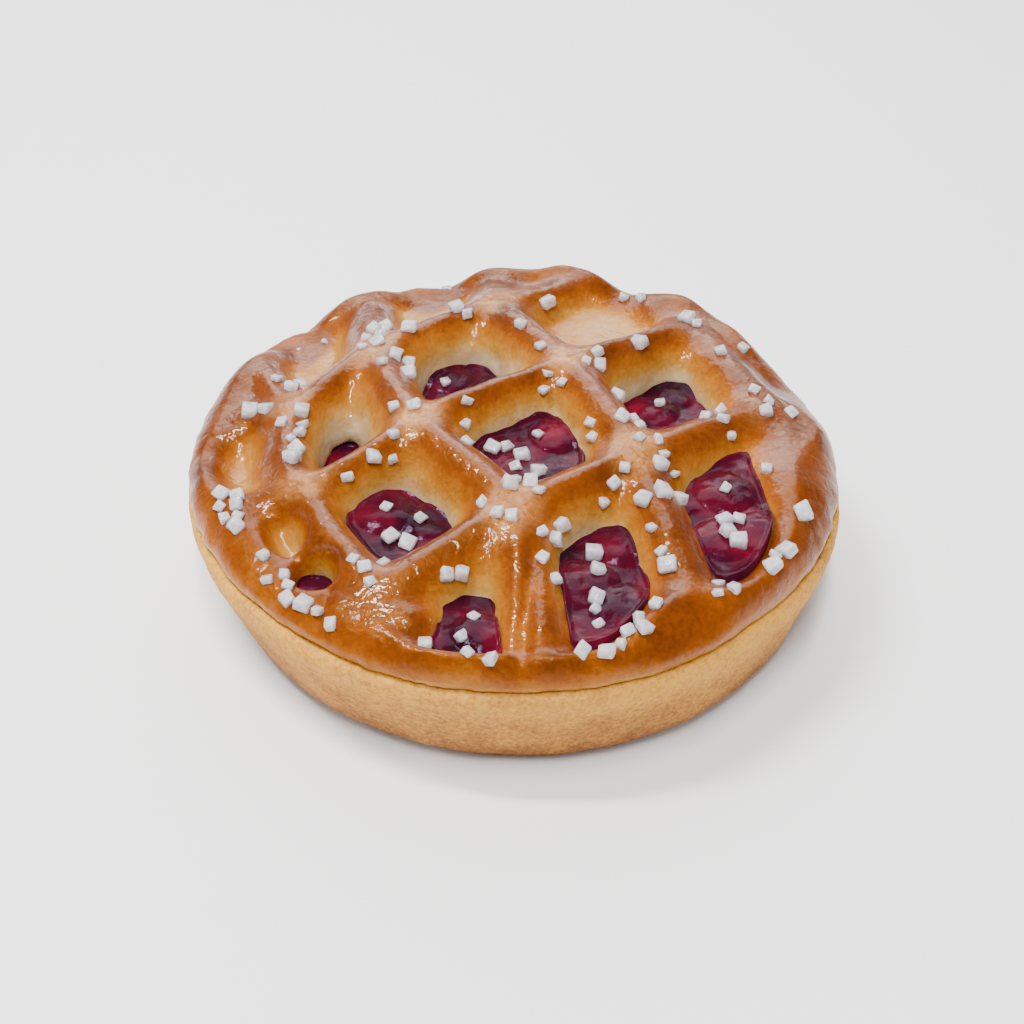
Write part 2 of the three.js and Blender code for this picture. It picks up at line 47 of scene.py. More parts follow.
DOME_TOP = 34.8             # crest of the lattice over the middle
DOME_DROP = 0.00324         # fall of the crests, per mm of radius squared
WELD = 0.87                 # how softly strips run into each other, as a share of their reach
REACH_BLUR = 0.8            # how far a crest's height carries into its neighbour
REACH_FAR = 4               # strips farther off than this all carry as little
LEAST_WEIGHT = 1e-9         # added to each strip's say in the height
RIM_ROLL = 0.76             # reach between the rim's crest and its edge, at the least
RIM_ROLL_WIDTH = 1.5        # least width over which the rim rolls down to its edge
LID_UNDERSIDE = 20.8
LEDGE = 0.7                 # how far the crust's rim stands out beyond the lid's edge
FIT_GAP = 0.35              # clearance of the filling over the bottom of the crust
SIDE_GAP = 0.45             # and beside its wall

# Cross section of a strip: an arch of this height over upright feet. The flank is rounder and
# the crown more pointed with a smaller exponent.
ARCH_HEIGHT, ARCH_LEAST, ARCH_FOOT, ARCH_FLANK, ARCH_CROWN = 10, 0.5, 0.8, 0.6, 1.8

CRUST_TOP = 20.45
CRUST_FLOOR = 4.8           # thickness of the bottom
CRUST_WALL = 4.4            # thickness of the wall at the top
CRUST_WALL_GAIN = 1.2       # how much thicker it is at the foot
CRUST_RIM_RADIUS = 55.0
CRUST_FOOT_RADIUS = 48.9
FLARE_HEIGHT, FLARE_EXPONENT = 18, 0.94
INNER_LEVELS = (7.2, 14)    # heights of the rings on the inner wall
CORNER_LEVEL = 5            # where the inner wall meets the bottom
CRUST_CORNER = 1.8          # width of that corner
CRUST_LEAN = (1.1, -0.4)    # the foot sits to one side of the rim
FILLING_TOP = 19.9          # level of the filling under the lid
MOUND_ROOT = 1              # how deep a mound of jelly stands in the filling
CHERRY_ROOT = 0.5           # and a cherry in the jelly

# Strips: [direction, [half width, path of the crest]]. Paths are distances along and across the
# family's own direction, measured from the middle of the tart.
FAMILIES = [
    (35, [
        (5.7, [(-41, 30.9), (-35, 29.7), (-30, 25.1), (-9, 29.7), (18, 31.8), (36, 32.8)]),
        (4.8, [(-50, 12), (-36.7, 4.6), (-13.7, 5.7), (16.1, 5.6), (50, 8.8)]),
        (6.1, [(-45, -21.3), (-17.3, -20.6), (10.3, -20.5), (42.8, -18.7), (47, -18)]),
    ]),
    (-64, [
        (5.9, [(-39.3, -32.6), (-20.4, -33.5), (-3.3, -38.6), (26.1, -36.4), (33, -34.3)]),
        (6.3, [(-49, -6.8), (-28.6, -13.4), (-3.7, -16.1), (21.4, -11.1), (48, -18.6)]),
        (6.4, [(-48.7, 21.6), (-34.8, 12.8), (-7.8, 13.7), (18.4, 12.8), (50, 7)]),
        (7.9, [(-27, 43.4), (-14.9, 43.8), (13.6, 43), (22, 40.5)]),
    ]),
]

# The rim of the lid, all round: [degrees from +X, crest radius, crest height, width from the
# crest in to the opening, radius of the edge].
RIM = np.array([
    (-150, 48.8, 26.9, 6.8, 54.3), (-135, 49.8, 25.2, 5.6, 53.8), (-120, 49.1, 26.7, 4.3, 54.3),
    (-105, 52.1, 26.5, 2.5, 54.4), (-90, 52.1, 27.0, 1.9, 54.3), (-75, 52.2, 26.3, 3.3, 54.4),
    (-60, 49.0, 29.8, 5.6, 54.5), (-45, 51.6, 27.0, 4.6, 53.6), (-30, 50.6, 27.9, 5.5, 54.4),
    (-12, 47.6, 29.8, 9.6, 54.3), (2, 51.0, 28.8, 5.4, 54.2), (17, 50.0, 23.4, 3.6, 53.7),
    (33, 49.8, 27.3, 4.0, 53.1), (44, 51.0, 29.2, 4.0, 54.5), (54, 51.3, 30.3, 4.0, 54.5),
    (65, 49.9, 25.4, 4.0, 53.5), (78, 51.5, 30.4, 4.5, 54.4), (86, 50.6, 28.1, 4.2, 54.3),
    (95, 50.9, 28.8, 4.0, 54.1), (108, 49.8, 22.2, 4.0, 53.1), (125, 50.8, 28.2, 4.0, 53.9),
    (142, 49.4, 22.4, 4.0, 52.8), (157, 50.8, 28.6, 5.0, 53.9), (167, 50.6, 26.4, 9.0, 54.1),
    (176, 51.0, 25.6, 8.5, 54.2), (184, 52.2, 24.8, 4.0, 54.3), (194, 51.7, 26.2, 4.5, 54.4),
])
CREST_RADIUS, CREST_HEIGHT, INWARD, EDGE = 1, 2, 3, 4

# Where the dough has parted from the rim: [x, y, radius, strength]
TEARS = [(-30.0, -33.7, 3.3, 1.05), (-35.4, -25.2, 3.9, 0.42)]

# Openings that show the filling: [x, y, level of the jelly]
OPENINGS = [
    (-8.5, 14.5, 23.0), (-28.0, -2.5, 20.4), (2.5, -6.0, 27.5), (25.0, 10.5, 22.4),
    (-17.5, -22.5, 25.2), (34.2, -18.5, 26.2), (14.3, -36.0, 25.2), (-6.5, -45.0, 24.2),
    (-30.6, -33.6, 22.0),
]

# Dimples with a floor of dough: [x, y, height of the floor, radius that it may fill]
DIMPLES = [
    (13.5, 33.0, 24.0, 14.0), (-16.0, 38.5, 23.6, 10.5), (-35.5, 24.0, 23.2, 10.5),
    (-45.5, -5.5, 22.4, 8.5),
]

# Cherries that hump the jelly: [x, y, radius, height of their tops above the jelly]
CHERRIES = [
    (34, -14, 5.5, 1.0), (40, -24, 6, 1.3), (33, -25, 5.5, 1.4), (17, -26, 5.5, 1.1), (11, -35, 6, 0.9),
    (17, -40, 5.5, 1.2), (-20, -19, 5.5, 1.2), (-14, -21, 5, 0.8), (2, 5, 5, 0.7), (7, -1, 5, 0.9),
    (-5, -45, 4.5, 0.9), (24, 13, 5, 1.0), (28, 18, 5, 0.7), (-12, 21, 5, 1.0),
]

# Drifts of sugar: [x, y, crystals, spread]. A few more lie singly all over the lid.
DRIFTS_ON_LID = [
    (-36, -1, 4, 3.2), (-34, -10, 2, 4), (-39, 13, 3, 3.8), (-42, 4, 2, 4), (-36, 29, 2, 3),
    (-26, 20, 3, 2.8), (-23, 24, 3, 2.4), (-19, 13, 3, 3.6), (-11, 29, 2, 2.6), (1, 24, 1, 1.5),
    (-47, -19, 4, 4), (-46, -23, 3, 3.2), (-37, -33, 3, 3.6), (-33, -39, 3, 3), (-29, -44, 2, 2.4),
    (-22, -36, 4, 3), (-28, -17, 1, 2), (-20, -10, 3, 3.6), (-20, 0, 2, 4.2), (-7, -2, 2, 2.4),
    (-9, -10, 1, 2), (7, 7, 3, 2.6), (12, 13, 3, 3.6), (3, 16, 1, 2), (4, -20, 2, 2.4),
    (-1, -21, 2, 2.4), (-3, -27, 3, 3.8), (14, -4, 3, 3.8), (20, -4, 2, 2.6), (22, -9, 2, 2.4),
    (25, -13, 3, 2.6), (17, -18, 2, 2.6), (21, -21, 2, 3), (33, -2, 3, 3.4), (41, 7, 3, 4.4),
    (37, 25, 2, 3.6), (22, 23, 1, 2), (21, 41, 2, 3.2), (32, 34, 2, 3.4), (9, 36, 3, 4.6),
    (-8, -37, 2, 3), (-12, -50, 1, 2), (-4, -52, 2, 2.6), (6, -35, 2, 2.4), (5, -29, 2, 2.2),
    (18, -48, 4, 3.4), (21, -44, 1, 2), (12, -51, 2, 2.4), (32, -38, 3, 3), (42, -30, 3, 3.2),
    (22, -31, 1, 2), (-14, 46, 2, 4.4), (42, -10, 1, 2), (48, 8, 1, 3),
]
SINGLES_ON_LID = 12
DRIFTS_ON_FILLING = [
    (11, -40, 3, 2.6), (12, -45, 4, 2.8), (15, -31, 2, 4), (28, -18, 2, 2.4), (32, -27, 3, 3),
    (35, -23, 2, 3), (35, -14, 1, 3), (2, -9, 3, 3), (-2, -5, 2, 3), (5, -1, 1, 3),
    (-9, -47, 2, 2.4), (-5, -44, 1, 2), (-19, -27, 2, 3), (-17, -20, 2, 4), (-14, 19, 1, 2), (24, 13, 1, 3),
]
CRYSTAL_SMALL, CRYSTAL_LARGE = 1.7, 2.8
CRYSTAL_MOSTLY_SMALL = 1.6  # exponent of the spread from small to large
CRYSTAL_WEAR = 0.22         # share of its half length by which a corner may be worn off
CRYSTAL_LENGTH, CRYSTAL_THICKNESS = (0.95, 1.2), (0.65, 0.9)     # shares of its size
CRYSTAL_TILT = 0.9
CRYSTAL_SUNK = 0.28         # share of its size that lies in the ground
CRYSTAL_APART = 2.15        # least distance between two
SINGLES_WITHIN, SINGLES_SPREAD = 50, 6          # radius of their field, and of each one's drift
ON_DOUGH_AROUND, ON_DOUGH_REACH = 1.5, 0.93     # radius in which the reach stays below this
ON_JELLY_AROUND, ON_JELLY_REACH = 2.3, 1.02     # and above this
LOOKS_AROUND = 8            # directions in which that is tested
TRIES = 40                  # spots tried for each crystal before it is left out
SUGAR_SEED = 4207
DRAW_FACTOR, DRAW_MODULUS = 16807, 2147483647

# Corners and faces of the block that crystals are worn from. Its faces have 24 corners in all.
BLOCK_CORNERS = [
    (0.5, 0.5, 0.5), (0.5, 0.5, -0.5), (0.5, -0.5, 0.5), (0.5, -0.5, -0.5),
    (-0.5, 0.5, -0.5), (-0.5, 0.5, 0.5), (-0.5, -0.5, -0.5), (-0.5, -0.5, 0.5),
]
BLOCK_FACES = [(0, 2, 3, 1), (4, 6, 7, 5), (5, 0, 1, 4), (7, 6, 3, 2), (5, 7, 2, 0), (4, 1, 3, 6)]
BLOCK_POINTS = 24

# ---------------------------------------------------------------- finer forms, in millimetres

UNEVEN = 0.18               # how far a crystal's corners stray from those of the solid
WORN_EDGE = (0.12, 0.36)    # how far its faces' corners draw in, as shares of the way to the middle

# Creases in the dough: [start, end, width, depth]
GROOVES = [
    ((3.2, -33.0), (1.3, -53.0), 1.6, 1.4),
    ((-27.5, -38.5), (-30.0, -50.0), 0.9, 0.8),
]

# Relief and patches: noises of [strength, size, seed]
NOISE_CELLS = 32            # noise repeats after this many cells
NOISE_SHIFT = 900           # which keeps the numbers of its cells above 0
CREST_RELIEF = [(0.3, 9, 11), (0.16, 3.5, 12)]
WALL_RELIEF = [(0.035, 6, 13), (0.02, 2.2, 14)]     # in reach, as is the next
SIDE_RELIEF = [(0.05, 2.6, 16)]
DIMPLE_RELIEF = [(0.2, 4, 15)]
CRUST_RELIEF = [(0.28, 7, 31), (0.13, 2.2, 32), (0.07, 0.9, 33)]
JELLY_RELIEF = [(0.35, 4.2, 41), (0.12, 1.6, 42)]
DOUGH_PATCHES = [(0.07, 8, 21), (0.05, 3, 22)]
SHEEN_PATCHES = [(0.2, 9, 23)]
CRUST_PATCHES = [(0.1, 10, 34)]
JELLY_PATCHES = [(0.3, 7, 43)]

# The grid on which the lid's surface is found, and the field that is sampled there.
VOXEL = 0.55                # step of the grid
GRID_LOW = np.array([-56.0, -56.0, 19.6])
GRID_SPAN = np.array([112.0, 112.0, 17.2])
SMOOTHING = (0.5, -0.52, 0.5, -0.52)    # steps that even out the net and swell it again
STRIP_HALF_WIDTH = 5.5      # turns reach into millimetres
FAR_OFF = 99                # a height beyond all others
TINY = 1e-6                 # keeps a division from 0
WALL_RELIEF_ENDS = (0.3, 0.8)           # reach where the relief of the walls starts and is full
SIDE_RELIEF_ENDS = (0.5, 1.0)
TUCK, TUCK_LEVELS = 0.1, (23.2, 20.8)   # the rim draws in by this reach, towards its underside
DIMPLE_BOWL, DIMPLE_BLEND = 0.5, 1.6    # rise of a dimple's floor, and how softly it meets the walls
RAY_STEP, RAY_LENGTH, HALVINGS = 0.35, 40, 20           # search for the border of an opening

# Browns of the dough, from 0 for pale to 1. Fades are [amount, start, end].
CREST_BROWN, CREST_FADES = 0.9, [(0.3, 0.5, 3.2), (0.3, 2.6, 6.0), (0.3, 5.0, 9.0)]     # with depth
SIDE_BROWN, SIDE_FADES = 0.88, [(0.28, 25.5, 21.2), (0.3, 21.9, 21.0)]      # down the outside
SIDE_ENDS = (-0.5, 1.5)     # beyond the rim's crest, where the crest's brown gives way to the side's
DIMPLE_BROWN = 0.42         # the least in a dimple

# Painted sheen: a paler colour on the crossings stands in for the broad reflection of the light behind. It
# is set by half widths off the strips' middles, by reach and by radius.
CROSSING_ENDS, SHEEN_REACHES, SHEEN_RADII, SHEEN_MEAN = (1.1, 0.3), (0.6, 0.2), (44, 36), 0.8
EDGE_DRY, EDGE_DRY_ENDS = 0.7, (-4, 0.5)        # glaze lost beyond the rim's crest

# The crust's outline, and its relief, which starts beyond these radii and above these levels.
FOOT_RADII = (0, 20, 38, 44, 45.6)
FOOT_START, FOOT_ROUNDING, FOOT_RINGS = 45.8, 3.2, 6
WALL_ENDS, WALL_RINGS = (3.6, 18.9), 34
CRUST_LIP = [(54.95, 19.5), (54.8, 20.0), (54.4, 20.35), (53.8, 20.5), (52.5, CRUST_TOP)]
CRUST_SIDES = 420
RELIEF_RADII, RELIEF_LEVELS = (44, 47.5), (0.0, 1.2)
RELIEF_SUNK = 0.22          # how far the relief's middle lies in the crust
# The crust's colour is darker towards the foot and paler towards the rim.
CRUST_BROWN, CRUST_FADES = 0.38, [(-0.5, 9, 0), (0.26, 9, 19)]      # by height

JELLY_CORNER = 2.4          # width of the filling's corner at the bottom
JELLY_SIDES = 120
JELLY_RED = 0.4
MOUND_SIDES, MOUND_RINGS = 128, 30
MOUND_MIDDLE = 0.03         # innermost ring of a mound, as a share of its width
MOUND_UNDER = 0.05          # how far a mound runs in under the walls, in reach
MOUND_CLIMB, MOUND_CLIMB_SHARES = 0.5, (0.86, 1.0)      # and how far it climbs them

# ---------------------------------------------------------------- curves and noise


def through(nodes, position):
    """Value and slope of a smooth curve through [position, value] nodes."""
    knots, values = np.asarray(nodes, float).T
    last = len(knots) - 1
    after = np.minimum(np.arange(last + 1) + 1, last)
    before = np.maximum(np.arange(last + 1) - 1, 0)
    slopes = (values[after] - values[before]) / (knots[after] - knots[before])
    at = np.clip(position, knots[0], knots[-1])
    i = np.clip(np.searchsorted(knots, at, side="left") - 1, 0, last - 1)
    span = knots[i + 1] - knots[i]
    t = (at - knots[i]) / span
    y0, y1, m0, m1 = values[i], values[i + 1], slopes[i], slopes[i + 1]
    value = ((1 + 2 * t) * (1 - t) ** 2 * y0 + t * (1 - t) ** 2 * span * m0
             + t * t * (3 - 2 * t) * y1 + t * t * (t - 1) * span * m1)
    slope = (6 * t * (t - 1) * (y0 - y1)) / span + (1 - t) * (1 - 3 * t) * m0 + t * (3 * t - 2) * m1
    return value, slope


def rim_at(column, x, y):
    """One of the rim's measures, in the direction of each place."""
    before, after = RIM[-2:].copy(), RIM[:2].copy()
    before[:, 0] -= 360
    after[:, 0] += 360
    loop = np.vstack([before, RIM, after])
    return through(loop[:, [0, column]], np.degrees(np.arctan2(y, x)))[0]


def soft_min(a, b, width):
    overlap = np.maximum(width - np.abs(a - b), 0) / width
    return np.minimum(a, b) - overlap * overlap * width / 4


def ease(start, end, value):
    """0 at the start, 1 at the end, and smooth between them."""
    t = np.clip((value - start) / (end - start), 0, 1)
    return t * t * (3 - 2 * t)


def noise(x, y, z, size, seed):
    """Smooth seeded noise from -1 to 1, with features of a size."""
    table = np.random.RandomState(seed).uniform(-1, 1, [NOISE_CELLS] * 3)
    cells, parts = [], []
    for value in np.broadcast_arrays(*(np.asarray(axis, float) for axis in (x, y, z))):
        scaled = value / size + NOISE_SHIFT
        whole = np.floor(scaled).astype(int)
        part = scaled - whole
        cells.append(whole)
        parts.append(part * part * (3 - 2 * part))
    total = 0
    for corner in range(8):
        weight, index = 1, []
        for axis in range(3):
            step = corner >> axis & 1
            weight = weight * (parts[axis] if step else 1 - parts[axis])
            index.append((cells[axis] + step) % NOISE_CELLS)
        total = total + weight * table[tuple(index)]
    return total


def noises(x, y, z, layers):
    """Sum of noises that each have a strength, a size and a seed."""
    return sum(strength * noise(x, y, z, size, seed) for strength, size, seed in layers)


# ---------------------------------------------------------------- the lid's field


def family_axes(direction, x, y):
    """Distances along and across the strips that run in a direction."""
    angle = math.radians(direction)
    along = x * math.cos(angle) + y * math.sin(angle)
    across = y * math.cos(angle) - x * math.sin(angle)
    return along, across


def lid_at(x, y):
    """Reach and crest height of the lid: 0 on a crest, 1 at the foot of its wall."""
    x, y = np.asarray(x, float), np.asarray(y, float)
    radius = np.hypot(x, y)
    edge = rim_at(EDGE, x, y)
    crest_radius = rim_at(CREST_RADIUS, x, y)
    width = np.where(radius > crest_radius, edge - crest_radius, rim_at(INWARD, x, y))
    dome = DOME_TOP - DOME_DROP * radius * radius
    members = []
    for direction, bars in FAMILIES:
        along, across = family_axes(direction, x, y)
        for half_width, path in bars:
            crest, slope = through(path, along)
            aside = np.abs(across - crest) / np.hypot(1, slope)
            beyond = np.maximum(path[0][0] - along, 0) + np.maximum(along - path[-1][0], 0)
            members.append((np.hypot(aside, beyond) / half_width, dome))
    members.append((np.abs(radius - crest_radius) / width, rim_at(CREST_HEIGHT, x, y)))
    reach = members[0][0]
    for other, _ in members[1:]:
        reach = soft_min(reach, other, WELD)
    roll = RIM_ROLL * (radius - edge) / np.maximum(edge - crest_radius, RIM_ROLL_WIDTH)
    reach = np.maximum(reach, 1 + roll)
    for tx, ty, size, strength in TEARS:
        reach = reach + strength * np.exp(-(((x - tx) ** 2 + (y - ty) ** 2) / size ** 2) ** 2)
    total, weights = 0, 0
    for other, crest in members:
        weight = np.exp(-(np.minimum(other, REACH_FAR) / REACH_BLUR) ** 2) + LEAST_WEIGHT
        total = total + weight * crest
        weights = weights + weight
    return np.maximum(reach, 0), total / weights


def crossing(x, y):
    """1 where two strips lie over each other, 0 away from there."""
    nearest = []
    for direction, bars in FAMILIES:
        along, across = family_axes(direction, x, y)
        aside = [np.abs(across - through(path, along)[0]) / half_width for half_width, path in bars]
        nearest.append(np.min(aside, axis=0))
    return ease(*CROSSING_ENDS, np.maximum(*nearest))


def arch_height(crest):
    return np.clip(crest - LID_UNDERSIDE - ARCH_FOOT, ARCH_LEAST, ARCH_HEIGHT)


def arch_top(reach, crest):
    """Height of the arch at a reach."""
    rounding = np.maximum(1 - np.minimum(reach, 1) ** ARCH_CROWN, 0) ** ARCH_FLANK
    return crest - arch_height(crest) * (1 - rounding)


def arch_reach(height, crest):
    """Reach at which the arch stands at a height."""
    drop = np.clip((crest - height) / arch_height(crest), 0, 1)
    return (1 - (1 - drop) ** (1 / ARCH_FLANK)) ** (1 / ARCH_CROWN)


def lid_top(x, y):
    return arch_top(*lid_at(x, y))


def contour(centre, target, sides):
    """Points where rays from the centre first come down to a reach."""
    angles = np.arange(sides) * 2 * math.pi / sides
    cos, sin = np.cos(angles), np.sin(angles)

    def open_at(distance):
        return lid_at(centre[0] + distance * cos, centre[1] + distance * sin)[0] > target

    distances = np.arange(0, RAY_LENGTH, RAY_STEP)
    first = np.argmin(open_at(distances[:, None]), axis=0)
    near, far = distances[np.maximum(first - 1, 0)], distances[first]
    for _ in range(HALVINGS):
        middle = (near + far) / 2
        is_open = open_at(middle)
        near, far = np.where(is_open, middle, near), np.where(is_open, far, middle)
    return np.stack([centre[0] + far * cos, centre[1] + far * sin], axis=1)


# ---------------------------------------------------------------- meshes


def mean_crossing(field, cells, corners):
    """Middle of the places where the surface crosses the edges of each cell, within the cell."""
    total, hits = np.zeros((len(cells), 3)), np.zeros(len(cells))
    for a in corners:
        for b in corners:
            if sum(b) - sum(a) != 1 or any(q < p for p, q in zip(a, b)):
                continue
            va, vb = field[tuple((cells + a).T)], field[tuple((cells + b).T)]
            crossed = (va < 0) != (vb < 0)
            share = np.where(crossed, va / np.where(crossed, va - vb, 1), 0)
            total += crossed[:, None] * (np.array(a) + share[:, None] * (np.array(b) - np.array(a)))
            hits += crossed
    return total / hits[:, None]


def net_quads(inside, index):
    """A quad for each edge of the grid that the surface crosses, from the four cells round it."""
    size = np.array(index.shape)
    quads = []
    for axis in range(3):
        u, v = (axis + 1) % 3, (axis + 2) % 3
        low, high = [slice(None)] * 3, [slice(None)] * 3
        low[axis], high[axis] = slice(0, -1), slice(1, None)
        first, second = inside[tuple(low)], inside[tuple(high)]
        edges = np.argwhere(first != second)
        place = edges[:, [u, v]]
        edges = edges[((place > 0) & (place < size[[u, v]])).all(axis=1)]
        ring = []
        for du, dv in ((-1, -1), (0, -1), (0, 0), (-1, 0)):
            cell = edges.copy()
            cell[:, u] += du
            cell[:, v] += dv
            ring.append(index[tuple(cell.T)])
        ring = np.stack(ring, axis=1)
        starts_inside = first[tuple(edges.T)][:, None]
        quads.append(np.where(starts_inside, ring, ring[:, ::-1]))
    return np.vstack(quads)


def surface_nets(field, origin, step):
    """Smooth closed surface where a sampled field is 0, negative inside: points and quads."""
    inside = field < 0
    size = np.array(field.shape) - 1
    corners = [(i, j, k) for i in (0, 1) for j in (0, 1) for k in (0, 1)]

    def seen_from(corner):
        return inside[tuple(slice(c, c + n) for c, n in zip(corner, size))]

    count = sum(seen_from(corner).astype(int) for corner in corners)
    cells = np.argwhere((count > 0) & (count < len(corners)))
    index = np.full(size, -1)
    index[tuple(cells.T)] = np.arange(len(cells))
    points = origin + step * (cells + mean_crossing(field, cells, corners))
    return points, net_quads(inside, index)


def relax(points, quads):
    """Evens a net out without shrinking it."""
    pairs = np.vstack([quads[:, [i, (i + 1) % 4]] for i in range(4)])
    pairs = np.vstack([pairs, pairs[:, ::-1]])
    valence = np.bincount(pairs[:, 0], minlength=len(points))[:, None]
    for share in SMOOTHING:
        sums = [np.bincount(pairs[:, 0], axis[pairs[:, 1]], len(points)) for axis in points.T]
        points = points + share * (np.stack(sums, axis=1) / valence - points)
    return points


def skirt(rings, sides):
    """Quads between rings of points that follow one another."""
    i = np.arange(sides)
    j = (i + 1) % sides
    lower = np.arange(rings - 1)[:, None] * sides
    upper = lower + sides
    return np.stack([upper + i, lower + i, lower + j, upper + j], axis=2).reshape(-1, 4)


def fan(tip, first, sides, downwards=False):
    """Triangles between a tip and the ring of points that starts at a number."""
    i = np.arange(sides)
    j = (i + 1) % sides
    if downwards:
        i, j = j, i
    return np.stack([np.full(sides, tip), first + i, first + j], axis=1)


def turned(profile, sides):
    """A closed turned shape from [radius, height] pairs that start and end on the axis."""
    angles = np.arange(sides) * 2 * math.pi / sides
    points = [
        np.column_stack([radius * np.cos(angles), radius * np.sin(angles), np.full(sides, height)])
        for radius, height in profile[1:-1]]
    rings = len(points)
    points += [(0, 0, profile[0][1]), (0, 0, profile[-1][1])]
    tip = rings * sides
    fans = [fan(tip, 0, sides, downwards=True), fan(tip + 1, tip - sides, sides)]
    return np.vstack(points), skirt(rings, sides), np.vstack(fans)


def link(name, data):
    """A new object in the scene."""
    item = bpy.data.objects.new(name, data)
    bpy.context.scene.collection.objects.link(item)
    return item


def make_piece(name, points, faces, node, slot, material, **attributes):
    """A mesh piece from points in millimetres and arrays of faces, which stands for a node."""
    mesh = bpy.data.meshes.new(name)
    loops = np.concatenate([part.ravel() for part in faces])
    sizes = np.concatenate([np.full(len(part), part.shape[1]) for part in faces])
    mesh.vertices.add(len(points))
    mesh.vertices.foreach_set("co", (points * MM).ravel())
    mesh.loops.add(len(loops))
    mesh.loops.foreach_set("vertex_index", loops)
    mesh.polygons.add(len(sizes))
    mesh.polygons.foreach_set("loop_start", np.concatenate([[0], np.cumsum(sizes)[:-1]]))
    mesh.update(calc_edges=True)
    mesh.validate()
    mesh.polygons.foreach_set("use_smooth", np.full(len(mesh.polygons), True))
    for key, values in attributes.items():
        layer = mesh.attributes.new(key, "FLOAT", "POINT")
        layer.data.foreach_set("value", np.asarray(values, np.float32))
    mesh.materials.append(material)
    piece = link(name, mesh)
    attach(piece, "root")
    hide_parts(node)
    return piece


# ---------------------------------------------------------------- materials


class Nodes:
    """A short way of writing a node material."""

    def __init__(self, name):
        self.material = bpy.data.materials.new(name)
        self.material.use_nodes = True
        self.tree = self.material.node_tree
        self.shader = self.tree.nodes["Principled BSDF"]

    def add(self, kind, inputs=None, **settings):
        node = self.tree.nodes.new(kind)
        for key, value in settings.items():
            setattr(node, key, value)
        for key, value in (inputs or {}).items():
            self.join(value, node.inputs[key])
        return node

    def join(self, value, socket):
        if isinstance(value, bpy.types.NodeSocket):
            self.tree.links.new(value, socket)
        else:
            socket.default_value = value

    def place(self):
        """Object coordinates in millimetres."""
        coordinates = self.add("ShaderNodeTexCoord").outputs["Object"]
        inputs = {"Vector": coordinates, "Scale": (1 / MM, 1 / MM, 1 / MM)}
        return self.add("ShaderNodeMapping", inputs).outputs[0]

    def noise(self, size, detail, rough, warp=0):
        """Noise from about 0 to 1, with features of a size in millimetres."""
        inputs = {"Vector": self.place(), "Scale": 1 / size, "Detail": detail, "Roughness": rough}
        inputs["Distortion"] = warp
        return self.add("ShaderNodeTexNoise", inputs).outputs["Fac"]

    def attribute(self, name):
        return self.add("ShaderNodeAttribute", attribute_name=name).outputs["Fac"]

    def math(self, operation, a, b):
        node = self.add("ShaderNodeMath", operation=operation)
        self.join(a, node.inputs[0])
        self.join(b, node.inputs[1])
        return node.outputs[0]

    def remap(self, value, low, high, to_low, to_high):
        inputs = {"Value": value, "From Min": low, "From Max": high, "To Min": to_low, "To Max": to_high}
        return self.add("ShaderNodeMapRange", inputs, clamp=True).outputs[0]

    def shift(self, level, noise, amount, low=0.3, high=0.7):
        """A level moved down and up by an amount as noise runs from low to high."""
        return self.math("ADD", level, self.remap(noise, low, high, -amount, amount))

    def ramp(self, value, stops):
        node = self.add("ShaderNodeValToRGB", {"Fac": value})
        elements = node.color_ramp.elements
        while len(elements) < len(stops):
            elements.new(1)
        for element, (position, colour) in zip(elements, stops):
            element.position = position
            element.color = (*colour, 1)
        return node.outputs["Color"]

    def mix(self, factor, a, b):
        node = self.add("ShaderNodeMix", data_type="RGBA")
        self.join(factor, node.inputs["Factor"])
        for key, value in (("A", a), ("B", b)):
            socket = [s for s in node.inputs if s.name == key and s.type == "RGBA"][0]
            self.join((*value, 1) if isinstance(value, tuple) else value, socket)
        return [s for s in node.outputs if s.type == "RGBA"][0]

    def bump(self, height, strength, distance, below=None):
        """A bumped normal, over the one below it."""
        inputs = {"Height": height, "Strength": strength, "Distance": distance * MM}
        if below is not None:
            inputs["Normal"] = below
        return self.add("ShaderNodeBump", inputs).outputs[0]

    def set(self, **values):
        """Sets or joins the shader's inputs, named with _ for a space."""
        for key, value in values.items():
            self.join(value, self.shader.inputs[key.replace("_", " ")])


# Linear colours, each with the level at which it stands.
DOUGH_BROWNS = [
    (0.00, (0.43, 0.33, 0.20)), (0.16, (0.41, 0.27, 0.12)), (0.34, (0.37, 0.175, 0.025)),
    (0.56, (0.30, 0.092, 0.004)), (0.78, (0.18, 0.038, 0.001)), (1.00, (0.085, 0.016, 0.001)),
]
# Painted sheen: a pale colour laid on the crossings in place of the broad reflection of the light behind.
CROSSING_SHEEN = (0.48, 0.20, 0.045)
CRUST_BROWNS = [
    (0.0, (0.66, 0.32, 0.050)), (0.3, (0.48, 0.21, 0.036)), (0.6, (0.28, 0.11, 0.030)),
    (1.0, (0.12, 0.045, 0.018)),
]
JELLY_REDS = [
    (0.0, (0.010, 0.002, 0.005)), (0.35, (0.032, 0.002, 0.008)), (0.65, (0.085, 0.003, 0.012)),
    (1.0, (0.24, 0.006, 0.016)),
]
# Sugar, greyer in the middles of the faces and whiter at the rims: a painted highlight on the crystals'
# edges.
SUGAR_GREY_TO_HIGHLIGHT = [(0.1, (0.736, 0.728, 0.8)), (0.7, (0.92, 0.91, 1.0))]
FLOOR_GREY = (0.93, 0.93, 0.93, 1)
DOUGH_GLAZE = 0.42          # weight of the glaze where it is full


